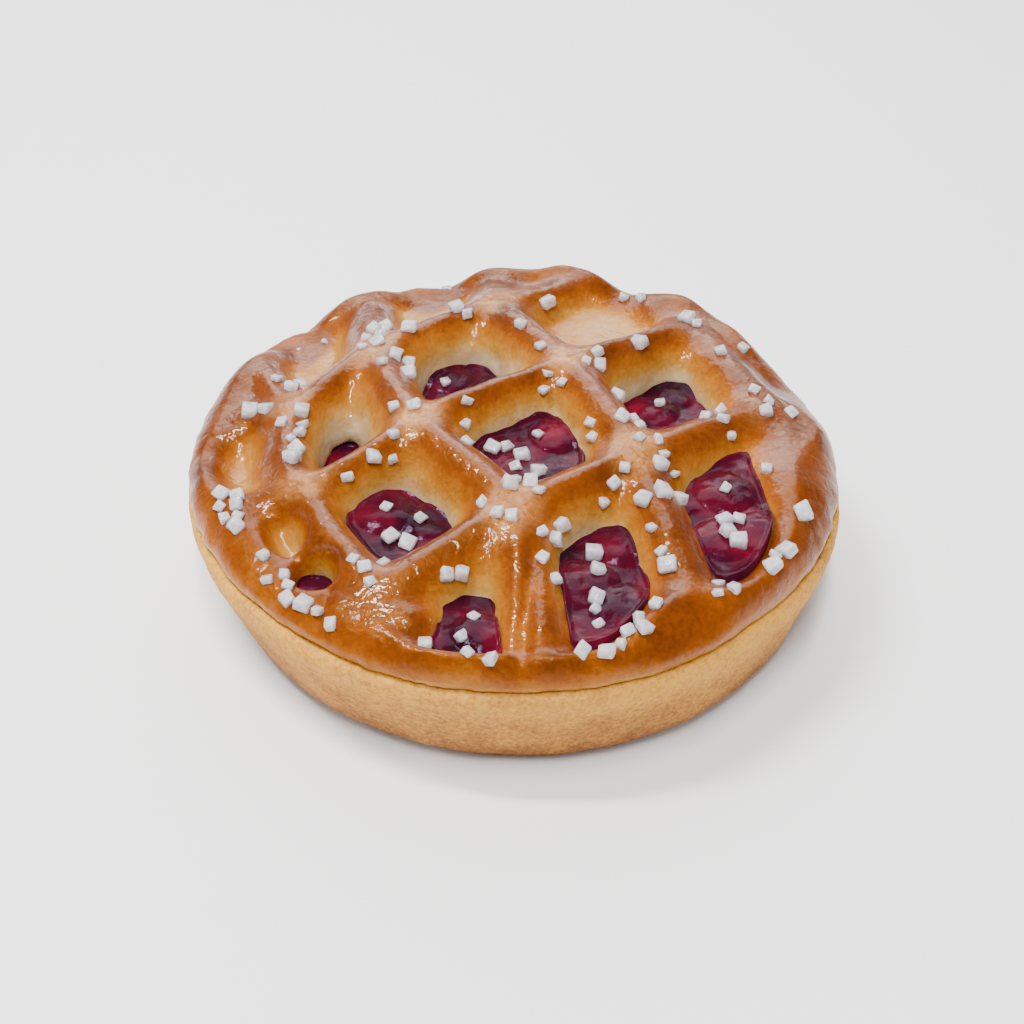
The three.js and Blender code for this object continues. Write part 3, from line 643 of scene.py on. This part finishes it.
def dough_material():
    n = Nodes("glazed_dough")
    patches = n.noise(7, detail=3, rough=0.5)
    specks = n.noise(0.9, detail=5, rough=0.7)
    flow = n.noise(2.2, detail=5, rough=0.65, warp=2.0)
    lumps = n.noise(3.0, detail=2, rough=0.5, warp=0.6)
    wrinkles = n.noise(1.5, detail=1, rough=0.4, warp=1.0)
    level = n.shift(n.attribute("bake"), patches, amount=0.07)
    level = n.shift(level, specks, amount=0.1)
    broken = n.remap(flow, low=0.35, high=0.65, to_low=0.2, to_high=0.95)
    # Painted sheen: the crossings' pale colour, streaked by the flow noise, stands in for a broad
    # reflection of the light behind.
    sheen_share = n.math("MULTIPLY", n.attribute("painted_sheen"), broken)
    base = n.mix(sheen_share, n.ramp(level, DOUGH_BROWNS), CROSSING_SHEEN)
    lumpy = n.bump(lumps, strength=0.3, distance=0.8)
    normal = n.bump(flow, strength=0.35, distance=0.4, below=lumpy)
    roughness = n.remap(specks, low=0.3, high=0.7, to_low=0.26, to_high=0.36)
    n.set(Base_Color=base, Roughness=roughness, Normal=normal)
    n.set(Specular_IOR_Level=0.35, Specular_Tint=(1.0, 0.42, 0.08, 1))
    n.set(Subsurface_Weight=0.1, Subsurface_Radius=(0.9, 0.25, 0.05), Subsurface_Scale=0.002)
    pooled = n.bump(lumps, strength=0.4, distance=0.8)
    wet = n.bump(wrinkles, strength=0.4, distance=0.3, below=pooled)
    glaze = n.math("MULTIPLY", n.attribute("glaze"), DOUGH_GLAZE)
    n.set(Coat_Weight=glaze, Coat_Roughness=0.03, Coat_Normal=wet)
    return n.material


def crust_material():
    n = Nodes("sandy_crust")
    patches = n.noise(6, detail=4, rough=0.6)
    grains = n.noise(0.8, detail=4, rough=0.75)
    pits = n.noise(1.6, detail=3, rough=0.6)
    level = n.shift(n.attribute("bake"), patches, amount=0.12)
    level = n.shift(level, grains, amount=0.24, low=0.35, high=0.65)
    pitted = n.bump(pits, strength=0.5, distance=0.5)
    normal = n.bump(grains, strength=0.8, distance=0.4, below=pitted)
    n.set(Base_Color=n.ramp(level, CRUST_BROWNS), Roughness=0.75, Normal=normal)
    n.set(Specular_IOR_Level=0.2, Specular_Tint=(1.0, 0.75, 0.5, 1))
    n.set(Subsurface_Weight=0.08, Subsurface_Radius=(0.8, 0.4, 0.2), Subsurface_Scale=0.002)
    return n.material


def jelly_material():
    n = Nodes("cherry_jelly")
    patches = n.noise(5, detail=3, rough=0.5, warp=0.3)
    skin = n.noise(2.4, detail=4, rough=0.55, warp=0.5)
    fibres = n.noise(0.7, detail=4, rough=0.6, warp=0.8)
    level = n.shift(n.attribute("red"), patches, amount=0.2)
    rippled = n.bump(skin, strength=0.3, distance=0.6)
    normal = n.bump(fibres, strength=0.15, distance=0.2, below=rippled)
    n.set(Base_Color=n.ramp(level, JELLY_REDS), Roughness=0.06, Normal=normal)
    n.set(Specular_IOR_Level=0.09, Specular_Tint=(0.8, 0.65, 1.0, 1))
    n.set(Subsurface_Weight=0.2, Subsurface_Radius=(1.6, 0.2, 0.25), Subsurface_Scale=0.003)
    return n.material


def sugar_material():
    n = Nodes("sugar_white")
    clouds = n.noise(0.8, detail=3, rough=0.6)
    chips = n.noise(0.7, detail=2, rough=0.5)
    # Painted highlight: the crystals' rims are painted whiter than the middles of their faces.
    edge = n.shift(n.attribute("edge"), clouds, amount=0.25)
    normal = n.bump(chips, strength=0.7, distance=0.4)
    n.set(Base_Color=n.ramp(edge, SUGAR_GREY_TO_HIGHLIGHT), Roughness=0.12, Normal=normal)
    n.set(Transmission_Weight=0.55, IOR=1.5)
    n.set(Subsurface_Weight=0.5, Subsurface_Radius=(1.0, 1.0, 1.1), Subsurface_Scale=0.0015)
    return n.material


# ---------------------------------------------------------------- the lid


def groove(x, y, start, end, width):
    """1 along a line and falling off beside it."""
    start, way = np.array(start, float), np.array(end, float) - start
    share = np.clip(((x - start[0]) * way[0] + (y - start[1]) * way[1]) / (way @ way), 0, 1)
    away = np.hypot(x - start[0] - share * way[0], y - start[1] - share * way[1])
    return np.exp(-(away / width) ** 2)


def rough_lid(x, y):
    """Reach and crest height with the relief and the creases of the baked dough."""
    reach, crest = lid_at(x, y)
    crest = crest + noises(x, y, 0, CREST_RELIEF)
    for start, end, width, depth in GROOVES:
        crest = crest - depth * groove(x, y, start, end, width)
    uneven = noises(x, y, 0, WALL_RELIEF)
    return np.maximum(reach + uneven * ease(*WALL_RELIEF_ENDS, reach), 0), crest


def dimple_floor(x, y):
    """Height of the floor in the dimples, and far below the lid elsewhere."""
    floor = np.full(x.shape, -FAR_OFF)
    for cx, cy, level, size in DIMPLES:
        away = np.hypot(x - cx, y - cy)
        floor = np.where(away < size, level + DIMPLE_BOWL * (away / size) ** 2, floor)
    return floor + noises(x, y, 0, DIMPLE_RELIEF)


def lid_field(xs, ys, zs):
    """Negative in the dough, and about the distance to its surface in millimetres."""
    x, y = np.meshgrid(xs, ys, indexing="ij")
    reach, crest = rough_lid(x, y)
    past_crest = np.hypot(x, y) - rim_at(CREST_RADIUS, x, y)
    past_edge = np.hypot(x, y) - rim_at(EDGE, x, y)
    plans = (reach, crest, dimple_floor(x, y), past_crest, past_edge)
    reach, crest, floor, past_crest, past_edge = (plan[:, :, None] for plan in plans)
    x, y, z = np.meshgrid(xs, ys, zs, indexing="ij")
    tuck = TUCK * ease(*TUCK_LEVELS, z) * (past_crest > 0)
    sides = noises(x, y, z, SIDE_RELIEF) * ease(*SIDE_RELIEF_ENDS, reach)
    reach = np.maximum(reach + tuck + sides, 0)
    above = np.where(reach < 1, z - arch_top(reach, crest), FAR_OFF)
    wall = np.where(z > crest, (crest - z) / 2, arch_reach(z, crest))
    beside = STRIP_HALF_WIDTH * (reach - wall)
    field = np.sign(beside) * np.abs(above * beside) / np.maximum(np.hypot(above, beside), TINY)
    field = soft_min(field, z - floor, DIMPLE_BLEND)
    return np.maximum(np.maximum(field, past_edge), LID_UNDERSIDE - z)


def faded(brown, fades, measure):
    """A brown that fades in steps along a measure."""
    for amount, start, end in fades:
        brown = brown - amount * ease(start, end, measure)
    return brown


def dough_look(points):
    """How brown the dough is, how much painted sheen pales the crossings, and how much glaze it carries."""
    x, y, z = points.T
    reach, crest = lid_at(x, y)
    radius = np.hypot(x, y)
    past_crest = radius - rim_at(CREST_RADIUS, x, y)
    bake = faded(CREST_BROWN, CREST_FADES, crest - z)
    bake = bake + (faded(SIDE_BROWN, SIDE_FADES, z) - bake) * ease(*SIDE_ENDS, past_crest)
    for cx, cy, _, size in DIMPLES:
        bake = np.where(np.hypot(x - cx, y - cy) < size, np.maximum(bake, DIMPLE_BROWN), bake)
    # Painted sheen on the crossings, near the crests and within a radius, in place of a reflection.
    painted_sheen = crossing(x, y) * ease(*SHEEN_REACHES, reach) * ease(*SHEEN_RADII, radius)
    return {
        "bake": bake + noises(x, y, z, DOUGH_PATCHES),
        "painted_sheen": painted_sheen * (SHEEN_MEAN + noises(x, y, z, SHEEN_PATCHES)),
        "glaze": 1 - EDGE_DRY * ease(*EDGE_DRY_ENDS, past_crest),
    }


def make_dough(material):
    counts = np.ceil(GRID_SPAN / VOXEL).astype(int) + 1
    axes = [low + VOXEL * np.arange(count) for low, count in zip(GRID_LOW, counts)]
    points, quads = surface_nets(lid_field(*axes), GRID_LOW, VOXEL)
    points = relax(points, quads)
    return make_piece("lid_dough", points, [quads], "lattice_lid", "glazed_crust", material,
                      **dough_look(points))


# ---------------------------------------------------------------- crust and filling


def settle(points):
    """Fits round points to the tart's uneven rim, more and more with height, and leans them."""
    x, y, z = points.T
    height = np.clip(z / CRUST_TOP, 0, 1)
    edge = np.minimum(rim_at(EDGE, x, y) + LEDGE, CRUST_RIM_RADIUS)
    grow = 1 + height * (edge / CRUST_RIM_RADIUS - 1)
    lean = 1 - height
    return np.stack([x * grow + CRUST_LEAN[0] * lean, y * grow + CRUST_LEAN[1] * lean, z], axis=1)


def wall_radius(height):
    share = np.minimum(height / FLARE_HEIGHT, 1) ** FLARE_EXPONENT
    return CRUST_FOOT_RADIUS + (CRUST_RIM_RADIUS - CRUST_FOOT_RADIUS) * share


def inner_radius(height):
    return wall_radius(height) - CRUST_WALL - CRUST_WALL_GAIN * (1 - height / CRUST_TOP)


def crust_profile():
    """The crust's [radius, height] pairs, from under its middle round to its floor inside."""
    profile = [(radius, 0) for radius in FOOT_RADII]
    for angle in np.linspace(0, math.pi / 2, FOOT_RINGS + 1)[1:]:
        out, up = math.sin(angle), 1 - math.cos(angle)
        profile.append((FOOT_START + FOOT_ROUNDING * out, FOOT_ROUNDING * up))
    profile += [(wall_radius(z), z) for z in np.linspace(*WALL_ENDS, WALL_RINGS)]
    profile += CRUST_LIP
    profile += [(inner_radius(z), z) for z in (CRUST_TOP, *reversed(INNER_LEVELS))]
    return profile + [(inner_radius(CORNER_LEVEL) - CRUST_CORNER, CRUST_FLOOR), (0, CRUST_FLOOR)]


def make_crust(material):
    points, quads, fans = turned(crust_profile(), CRUST_SIDES)
    points = settle(points)
    x, y, z = points.T
    radius = np.hypot(x, y)
    shown = ease(*RELIEF_RADII, radius) * ease(*RELIEF_LEVELS, z)
    push = shown * (noises(x, y, z, CRUST_RELIEF) - RELIEF_SUNK)
    points[:, 0] += push * x / np.maximum(radius, 1)
    points[:, 1] += push * y / np.maximum(radius, 1)
    # Darker towards the foot, paler towards the rim.
    bake = faded(CRUST_BROWN, CRUST_FADES, z) + noises(x, y, z, CRUST_PATCHES)
    return make_piece("crust_shell", points, [quads, fans], "base_crust", "base_crust", material, bake=bake)


def jelly_top(level, x, y):
    """Height of the jelly and its cherries in an opening with that level."""
    height = np.full(np.shape(x), float(level))
    for cx, cy, size, rise in CHERRIES:
        away = np.hypot(x - cx, y - cy) / size
        dome = np.sqrt(np.maximum(1 - away * away, 0))
        cherry = level - CHERRY_ROOT + (rise + CHERRY_ROOT) * dome
        height = np.where(away < 1, np.maximum(height, cherry), height)
    return height


def mound(cx, cy, level):
    """The jelly in one opening, down to its root in the filling: points, quads and fans."""
    wall = float(arch_reach(level, lid_at(cx, cy)[1]))
    rim = contour((cx, cy), wall - MOUND_UNDER, MOUND_SIDES)
    root = FILLING_TOP - MOUND_ROOT
    points = [np.column_stack([rim, np.full(MOUND_SIDES, root)])]
    for share in np.linspace(1, MOUND_MIDDLE, MOUND_RINGS):
        x = cx + share * (rim[:, 0] - cx)
        y = cy + share * (rim[:, 1] - cy)
        climb = MOUND_CLIMB * ease(*MOUND_CLIMB_SHARES, share)
        z = jelly_top(level, x, y) + noises(x, y, 0, JELLY_RELIEF) + climb
        points.append(np.column_stack([x, y, z]))
    points += [(cx, cy, points[-1][:, 2].mean()), (cx, cy, root)]
    tip = (MOUND_RINGS + 1) * MOUND_SIDES
    fans = [fan(tip, tip - MOUND_SIDES, MOUND_SIDES), fan(tip + 1, 0, MOUND_SIDES, downwards=True)]
    return np.vstack(points), skirt(MOUND_RINGS + 1, MOUND_SIDES), np.vstack(fans)


def make_jelly(material):
    base = CRUST_FLOOR + FIT_GAP
    profile = [(0, base), (inner_radius(CORNER_LEVEL) - JELLY_CORNER, base)]
    profile += [(inner_radius(z) - SIDE_GAP, z) for z in (*INNER_LEVELS, FILLING_TOP)]
    profile.append((0, FILLING_TOP))
    body, quads, fans = turned(profile, JELLY_SIDES)
    shapes = [(settle(body), quads, fans), *(mound(*opening) for opening in OPENINGS)]
    starts = np.cumsum([0] + [len(points) for points, _, _ in shapes])
    quads = np.vstack([start + more for start, (_, more, _) in zip(starts, shapes)])
    fans = np.vstack([start + more for start, (_, _, more) in zip(starts, shapes)])
    points = np.vstack([points for points, _, _ in shapes])
    x, y, _ = points.T
    red = JELLY_RED + noises(x, y, 0, JELLY_PATCHES)
    return make_piece("cherry_jelly", points, [quads, fans], "cherry_filling", "cherry_filling",
                      material, red=red)


# ---------------------------------------------------------------- sugar


class Draws:
    """Repeatable random numbers from 0 to 1."""

    def __init__(self, seed):
        self.state = seed

    def __call__(self):
        self.state = self.state * DRAW_FACTOR % DRAW_MODULUS
        return self.state / DRAW_MODULUS


def scatter(drifts, suits, draw):
    """Spots for crystals in each drift, on ground that suits them and clear of one another."""
    spots = []
    for x, y, count, spread in drifts:
        left = count
        for _ in range(TRIES * count):
            if not left:
                break
            away = spread * math.sqrt(draw())
            angle = 2 * math.pi * draw()
            spot = (x + away * math.cos(angle), y + away * math.sin(angle))
            free = all(math.dist(spot, other) > CRYSTAL_APART for other in spots)
            if free and suits(*spot):
                spots.append(spot)
                left -= 1
    return spots


def reach_around(x, y, radius):
    """Least and greatest reach on a ring round a spot."""
    angles = np.arange(LOOKS_AROUND) * 2 * math.pi / LOOKS_AROUND
    reaches = lid_at(x + radius * np.cos(angles), y + radius * np.sin(angles))[0]
    return reaches.min(), reaches.max()


def turn(points, axis, angle):
    """Points turned about an axis by its number."""
    a, b = [(1, 2), (2, 0), (0, 1)][axis]
    result = points.copy()
    result[:, a] = points[:, a] * math.cos(angle) - points[:, b] * math.sin(angle)
    result[:, b] = points[:, a] * math.sin(angle) + points[:, b] * math.cos(angle)
    return result


def between(ends, share):
    return ends[0] + (ends[1] - ends[0]) * share


def crystal(x, y, z, draw):
    """The eight corners of a worn block of sugar, sunk a little into what it lies on."""
    corners = np.array(BLOCK_CORNERS)
    for corner in corners:
        for axis in range(3):
            corner[axis] *= 1 - CRYSTAL_WEAR + CRYSTAL_WEAR * draw()
    size = between((CRYSTAL_SMALL, CRYSTAL_LARGE), draw() ** CRYSTAL_MOSTLY_SMALL)
    length = size * between(CRYSTAL_LENGTH, draw())
    corners *= (length, size, size * between(CRYSTAL_THICKNESS, draw()))
    tilts = ((draw() - 0.5) * CRYSTAL_TILT, (draw() - 0.5) * CRYSTAL_TILT, draw() * math.pi)
    for axis, angle in enumerate(tilts):
        corners = turn(corners, axis, angle)
    return corners + (x, y, z + size * (between(CRYSTAL_THICKNESS, 0.5) / 2 - CRYSTAL_SUNK))


def sides_of(ring):
    """Pairs of corners that follow each other round a face."""
    return zip(ring, ring[1:] + ring[:1])


def worn(corners, random):
    """A crystal with cut edges and corners: three points at each corner, then its faces' middles."""
    middle = corners.mean(axis=0)
    corners = corners + random.uniform(-UNEVEN, UNEVEN, corners.shape)
    centres = [corners[list(ring)].mean(axis=0) for ring in BLOCK_FACES]
    points, faces, used = [], [], {}
    for number, ring in enumerate(BLOCK_FACES):
        for corner in ring:
            used[number, corner] = len(points)
            inwards = centres[number] - corners[corner]
            points.append(corners[corner] + random.uniform(*WORN_EDGE) * inwards)
        for a, b in sides_of(ring):
            faces.append([used[number, a], used[number, b], BLOCK_POINTS + number])
    face_at = {side: number for number, ring in enumerate(BLOCK_FACES) for side in sides_of(ring)}
    for (a, b), number in face_at.items():
        if a < b:
            other = face_at[b, a]
            faces.append([used[number, b], used[number, a], used[other, a], used[other, b]])
    for corner in range(len(corners)):
        tips = [used[number, corner] for number, ring in enumerate(BLOCK_FACES) if corner in ring]
        a, b, c = (points[tip] for tip in tips)
        if np.dot(np.cross(b - a, c - a), a - middle) < 0:
            tips.reverse()
        faces.append(tips)
    return points + centres, faces


def make_sugar(name, blocks, node, material):
    """A piece of many crystals. Its edge attribute is 1 at their rims and 0 in their faces, and the
    material paints a highlight on the rims from it.
    """
    random = np.random.RandomState(len(blocks))
    points, quads, triangles = [], [], []
    for block in blocks:
        start = len(points)
        more, faces = worn(block, random)
        points += more
        for face in faces:
            (quads if len(face) == 4 else triangles).append([start + i for i in face])
    edge = np.tile(np.repeat([1.0, 0.0], [BLOCK_POINTS, len(BLOCK_FACES)]), len(blocks))
    return make_piece(name, np.array(points), [np.array(quads), np.array(triangles)], node, "sugar",
                      material, edge=edge)


def lid_sugar(draw):
    """Crystals in drifts and singly on the dough."""
    def suits(x, y):
        return reach_around(x, y, ON_DOUGH_AROUND)[1] < ON_DOUGH_REACH

    singles = []
    for _ in range(SINGLES_ON_LID):
        angle = 2 * math.pi * draw()
        away = SINGLES_WITHIN * math.sqrt(draw())
        singles.append((away * math.cos(angle), away * math.sin(angle), 1, SINGLES_SPREAD))
    spots = scatter(DRIFTS_ON_LID + singles, suits, draw)
    return [crystal(x, y, float(lid_top(x, y)), draw) for x, y in spots]


def filling_sugar(draw):
    """Crystals in drifts on the jelly."""
    def suits(x, y):
        around = reach_around(x, y, ON_JELLY_AROUND)[0]
        return min(around, lid_at(x, y)[0]) > ON_JELLY_REACH

    def height(x, y):
        level = min(OPENINGS, key=lambda opening: math.hypot(x - opening[0], y - opening[1]))[2]
        return float(jelly_top(level, x, y))

    spots = scatter(DRIFTS_ON_FILLING, suits, draw)
    return [crystal(x, y, height(x, y), draw) for x, y in spots]


# ---------------------------------------------------------------- the studio, in metres

# [name, place, width, height, power in watts, whether reflections show it]
LIGHTS = [
    ("sky", (-0.08, 0.44, 0.48), 0.55, 0.55, 4.4, True),
    ("back", (0, 0.75, 0.38), 0.9, 0.3, 2, True),
    ("front", (0.05, -0.8, 0.3), 0.9, 0.5, 1.0, False),
    ("left", (-0.8, -0.1, 0.3), 0.7, 0.4, 2.6, False),
    ("right", (0.8, -0.1, 0.3), 0.7, 0.4, 1.8, False),
    ("key_front", (0, -0.24, 0.55), 0.05, 0.3, 4.4, True),
    ("key_left", (-0.24, 0, 0.56), 0.05, 0.22, 4.5, True),
]
LIGHTS_AIM = (0, 0, 0.02)
WORLD_STRENGTH = 0.22
FLOOR_HALF = 3

# The camera, from a fit to the rim and the crossings in the photograph, in metres and radians.
CAMERA_ELEVATION = 0.7007
CAMERA_DISTANCE = 0.299
CAMERA_ROLL = 0.01561
CAMERA_AIM_HEIGHT = 0.009986
CAMERA_CLIP_START = 0.01
SENSOR_WIDTH = 36           # in millimetres
PHOTO_SIZE = 1024           # in pixels, as are the two below
FOCAL_LENGTH = 1725.2
PHOTO_CENTRE = (513.155, 511.425)


def make_floor():
    data = bpy.data.meshes.new("floor")
    corners = [(x * FLOOR_HALF, y * FLOOR_HALF, 0) for x, y in ((-1, -1), (1, -1), (1, 1), (-1, 1))]
    data.from_pydata(corners, [], [(0, 1, 2, 3)])
    n = Nodes("pale_floor")
    n.set(Base_Color=FLOOR_GREY, Roughness=0.9, Specular_IOR_Level=0.1)
    data.materials.append(n.material)
    link("floor", data)


def area_light(name, place, width, height, power, reflected):
    """A soft light that faces the tart."""
    data = bpy.data.lights.new(name, "AREA")
    data.shape = "RECTANGLE"
    data.size = width
    data.size_y = height
    data.energy = power
    light = link(name, data)
    light.location = place
    aim = np.array(LIGHTS_AIM) - np.array(place)
    light.rotation_euler = (math.atan2(math.hypot(aim[0], aim[1]), -aim[2]), 0, math.atan2(-aim[0], aim[1]))
    light.visible_glossy = reflected


def make_world():
    world = bpy.data.worlds.new("studio")
    bpy.context.scene.world = world
    world.use_nodes = True
    background = world.node_tree.nodes["Background"]
    background.inputs["Color"].default_value = (1, 1, 1, 1)
    background.inputs["Strength"].default_value = WORLD_STRENGTH


def make_camera():
    data = bpy.data.cameras.new("camera")
    data.sensor_width = SENSOR_WIDTH
    data.lens = FOCAL_LENGTH / PHOTO_SIZE * SENSOR_WIDTH
    data.shift_x = -(PHOTO_CENTRE[0] - PHOTO_SIZE / 2) / PHOTO_SIZE
    data.shift_y = (PHOTO_CENTRE[1] - PHOTO_SIZE / 2) / PHOTO_SIZE
    data.clip_start = CAMERA_CLIP_START
    camera = link("camera", data)
    away = CAMERA_DISTANCE * math.cos(CAMERA_ELEVATION)
    up = CAMERA_DISTANCE * math.sin(CAMERA_ELEVATION)
    camera.location = (0, -away, CAMERA_AIM_HEIGHT + up)
    facing = mathutils.Euler((math.pi / 2 - CAMERA_ELEVATION, 0, 0)).to_matrix()
    roll = mathutils.Matrix.Rotation(CAMERA_ROLL, 3, "Z")
    camera.rotation_euler = (facing @ roll).to_euler()
    bpy.context.scene.camera = camera


# ---------------------------------------------------------------- all of it

make_floor()
make_world()
for light in LIGHTS:
    area_light(*light)
make_camera()
make_crust(crust_material())
make_dough(dough_material())
make_jelly(jelly_material())
white = sugar_material()
draw = Draws(SUGAR_SEED)
make_sugar("sugar_on_lid", lid_sugar(draw), "lattice_lid", white)
make_sugar("sugar_on_filling", filling_sugar(draw), "cherry_filling", white)
